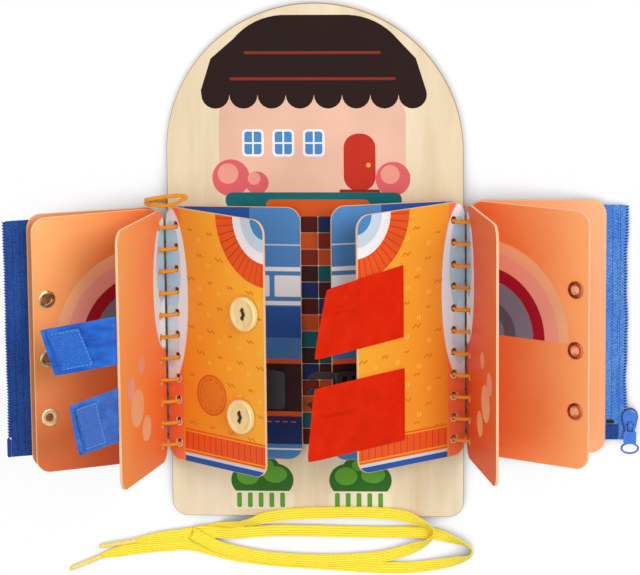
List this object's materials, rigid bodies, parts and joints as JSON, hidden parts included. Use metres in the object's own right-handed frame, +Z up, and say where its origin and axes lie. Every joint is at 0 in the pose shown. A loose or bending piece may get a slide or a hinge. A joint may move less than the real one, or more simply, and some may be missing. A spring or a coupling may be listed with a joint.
{
  "type": "quiet book",
  "caption": "Arched wooden board with spiral-corded leaves on both sides that carry a buckle, buttons and tabs, hook straps, eyelets and a zip, and a loose flat lace",
  "frame": {"origin": "On the table below the middle of the open book, measured without the lace", "axes": "+X across the book to the right leaves, +Y up the board to its arch, +Z up from the table"},
  "size_m": [0.4376, 0.4052, 0.1476],
  "materials": {
    "ply": "birch plywood, sealed",
    "cord": "waxed round cord",
    "leaf": "laminated print on stiff board",
    "tape": "woven zip tape",
    "teeth": "coil teeth",
    "plastic": "moulded",
    "brass": "rolled eyelet",
    "satin": "ribbed woven strap",
    "hook": "hook tape",
    "wood": "turned, oiled",
    "buckle": "moulded, black",
    "webbing": "narrow webbing",
    "felt": "wool felt",
    "lace": "flat braid",
    "tip": "clear wrap"
  },
  "bodies": {
    "board": {"back_board": "ply", "binding_cord_left": "cord", "binding_cord_right": "cord", "lace": "lace", "lace_tip_front": "tip", "lace_tip_back": "tip"},
    "buckle_leaf_left": {"leaf_buckle_left": "leaf", "belt_webbing_left": "webbing"},
    "button_leaf_left": {"leaf_button_left": "leaf", "button_upper": "wood", "button_lower": "wood"},
    "strap_leaf_left": {"leaf_strap_left": "leaf", "strap_seam_upper": "satin", "strap_seam_lower": "satin"},
    "eyelet_leaf_left": {"leaf_eyelet_left": "leaf", "eyelet_left_1": "brass", "eyelet_left_2": "brass", "eyelet_left_3": "brass"},
    "zip_leaf_left": {"leaf_zip_left": "leaf", "zip_tape_left": "tape", "zip_teeth_left": "teeth", "zip_pin": "plastic"},
    "buckle_leaf_right": {"leaf_buckle_right": "leaf", "belt_webbing_right": "webbing"},
    "button_leaf_right": {"leaf_button_right": "leaf", "tab_seam_upper": "felt", "tab_seam_lower": "felt"},
    "strap_leaf_right": {"leaf_strap_right": "leaf", "loop_patch_upper": "satin", "loop_patch_lower": "satin"},
    "eyelet_leaf_right": {"leaf_eyelet_right": "leaf", "eyelet_right_1": "brass", "eyelet_right_2": "brass", "eyelet_right_3": "brass"},
    "zip_leaf_right": {"leaf_zip_right": "leaf", "zip_tape_right": "tape", "zip_teeth_right": "teeth", "zip_box": "plastic"},
    "strap_upper": {"strap_flap_upper": "satin", "hook_patch_upper": "hook"},
    "strap_lower": {"strap_flap_lower": "satin", "hook_patch_lower": "hook"},
    "tab_upper": {"tab_flap_upper": "felt"},
    "tab_lower": {"tab_flap_lower": "felt"},
    "buckle_socket": {"buckle_socket": "buckle"},
    "buckle_plug": {"buckle_plug": "buckle"},
    "zip_slider": {"zip_slider": "plastic"},
    "zip_pull": {"zip_pull": "plastic"}
  },
  "joints": [
    {"name": "buckle_leaf_left_turn", "type": "hinge", "parent": "board", "child": "buckle_leaf_left", "pos_m": [-0.11094, -0.183, 0.01254], "axis": [0, -1, 0], "range_deg": [-4, 32]},
    {"name": "button_leaf_left_turn", "type": "hinge", "parent": "buckle_leaf_left", "child": "button_leaf_left", "pos_m": [-0.11094, -0.1825, 0.01254], "axis": [0, -1, 0], "range_deg": [-30, 14]},
    {"name": "strap_leaf_left_turn", "type": "hinge", "parent": "button_leaf_left", "child": "strap_leaf_left", "pos_m": [-0.11094, -0.1841, 0.01254], "axis": [0, -1, 0], "range_deg": [-57, 7]},
    {"name": "eyelet_leaf_left_turn", "type": "hinge", "parent": "strap_leaf_left", "child": "eyelet_leaf_left", "pos_m": [-0.11094, -0.1841, 0.01254], "axis": [0, -1, 0], "range_deg": [-43, 4]},
    {"name": "zip_leaf_left_turn", "type": "hinge", "parent": "eyelet_leaf_left", "child": "zip_leaf_left", "pos_m": [-0.11094, -0.1835, 0.01254], "axis": [0, -1, 0], "range_deg": [0, 19]},
    {"name": "buckle_leaf_right_turn", "type": "hinge", "parent": "board", "child": "buckle_leaf_right", "pos_m": [0.09966, -0.1789, 0.01254], "axis": [0, 1, 0], "range_deg": [-16, 23]},
    {"name": "button_leaf_right_turn", "type": "hinge", "parent": "buckle_leaf_right", "child": "button_leaf_right", "pos_m": [0.09966, -0.1788, 0.01254], "axis": [0, 1, 0], "range_deg": [-19, 20]},
    {"name": "strap_leaf_right_turn", "type": "hinge", "parent": "button_leaf_right", "child": "strap_leaf_right", "pos_m": [0.09966, -0.1799, 0.01254], "axis": [0, 1, 0], "range_deg": [-56, 7]},
    {"name": "eyelet_leaf_right_turn", "type": "hinge", "parent": "strap_leaf_right", "child": "eyelet_leaf_right", "pos_m": [0.09966, -0.1783, 0.01254], "axis": [0, 1, 0], "range_deg": [-40, 4]},
    {"name": "zip_leaf_right_turn", "type": "hinge", "parent": "eyelet_leaf_right", "child": "zip_leaf_right", "pos_m": [0.09966, -0.1789, 0.01254], "axis": [0, 1, 0], "range_deg": [-25, 0]},
    {"name": "strap_upper_fold", "type": "hinge", "parent": "strap_leaf_left", "child": "strap_upper", "pos_m": [-0.13517, -0.1841, 0.10527], "axis": [0, 1, 0], "range_deg": [-114, 66]},
    {"name": "strap_lower_fold", "type": "hinge", "parent": "strap_leaf_left", "child": "strap_lower", "pos_m": [-0.13517, -0.1841, 0.10527], "axis": [0, 1, 0], "range_deg": [-161, 19]},
    {"name": "tab_upper_fold", "type": "hinge", "parent": "button_leaf_right", "child": "tab_upper", "pos_m": [0.02788, -0.1788, 0.07599], "axis": [0, -1, 0], "range_deg": [-180, 0]},
    {"name": "tab_lower_fold", "type": "hinge", "parent": "button_leaf_right", "child": "tab_lower", "pos_m": [0.02788, -0.1788, 0.07599], "axis": [0, -1, 0], "range_deg": [-180, 0]},
    {"name": "buckle_socket_lift", "type": "hinge", "parent": "buckle_leaf_left", "child": "buckle_socket", "pos_m": [-0.04909, -0.087, 0.01471], "axis": [0, -1, 0], "range_deg": [0, 45]},
    {"name": "buckle_plug_lift", "type": "hinge", "parent": "buckle_leaf_right", "child": "buckle_plug", "pos_m": [0.02577, -0.0829, 0.03149], "axis": [0, 1, 0], "range_deg": [0, 45]},
    {"name": "zip_slider_run", "type": "slide", "parent": "zip_leaf_right", "child": "zip_slider", "axis": [0, 1, 0], "range_m": [-0.0005, 0.142]},
    {"name": "zip_pull_swing", "type": "hinge", "parent": "zip_slider", "child": "zip_pull", "pos_m": [0.21231, -0.11455, 0.00882], "axis": [-0.9998, 0, 0.0175], "range_deg": [0, 170]}
  ]
}
